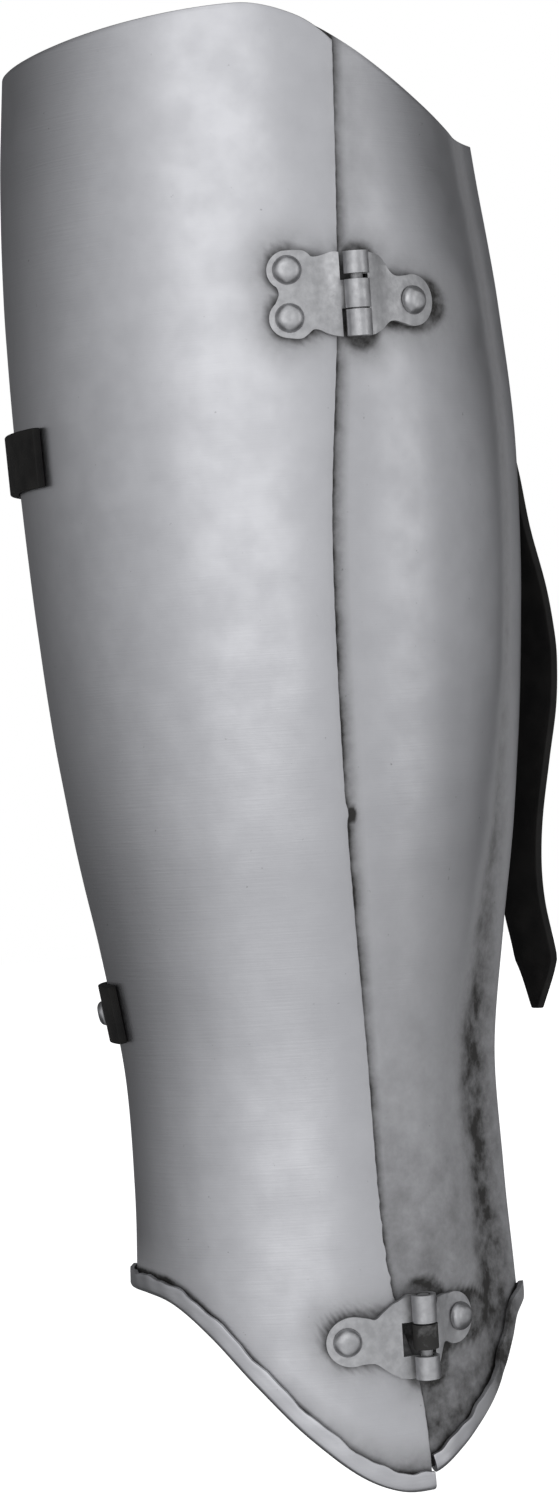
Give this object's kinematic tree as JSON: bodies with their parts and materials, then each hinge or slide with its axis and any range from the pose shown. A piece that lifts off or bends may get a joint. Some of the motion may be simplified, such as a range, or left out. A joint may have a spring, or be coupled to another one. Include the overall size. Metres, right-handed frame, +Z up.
{
  "type": "greave",
  "caption": "Closed steel greave for the lower leg: calf plate and ridged shin plate hinged on the outer side, with leather straps and buckles.",
  "frame": {"origin": "on the leg's axis, level with the lowest point of the foot rim", "axes": "+Z up the leg, +X forward to the shin's ridge, -Y to the outer side with the hinges"},
  "size_m": [0.1493, 0.1232, 0.3952],
  "materials": {
    "plate_steel": "satin, finely scratched, dark in the seams",
    "hinge_steel": "satin cast steel, dark in the hollows",
    "black_leather": "smooth black, lightly grained"
  },
  "bodies": {
    "calf": {"calf_plate": "plate_steel", "upper_hinge_rear_leaf": "hinge_steel", "lower_hinge_rear_leaf": "hinge_steel", "upper_hinge_pin": "hinge_steel", "lower_hinge_pin": "hinge_steel", "upper_hinge_rivet_1": "hinge_steel", "upper_hinge_rivet_2": "hinge_steel", "lower_hinge_rivet_1": "hinge_steel", "upper_buckle_tab": "black_leather", "lower_buckle_tab": "black_leather", "upper_tab_rivet": "hinge_steel", "lower_tab_rivet": "hinge_steel", "upper_buckle": "hinge_steel", "lower_buckle": "hinge_steel"},
    "shin": {"shin_plate": "plate_steel", "upper_hinge_front_leaf": "hinge_steel", "lower_hinge_front_leaf": "hinge_steel", "upper_hinge_rivet_3": "hinge_steel", "lower_hinge_rivet_2": "hinge_steel", "upper_strap": "black_leather", "lower_strap": "black_leather", "upper_strap_rivet": "hinge_steel", "lower_strap_rivet": "hinge_steel"}
  },
  "joints": [
    {"name": "side_hinge", "type": "hinge", "parent": "calf", "child": "shin", "pos_m": [0.02649, -0.05715, 0.31664], "axis": [0.0014, 0.0656, -0.9978], "range_deg": [0, 80]}
  ]
}
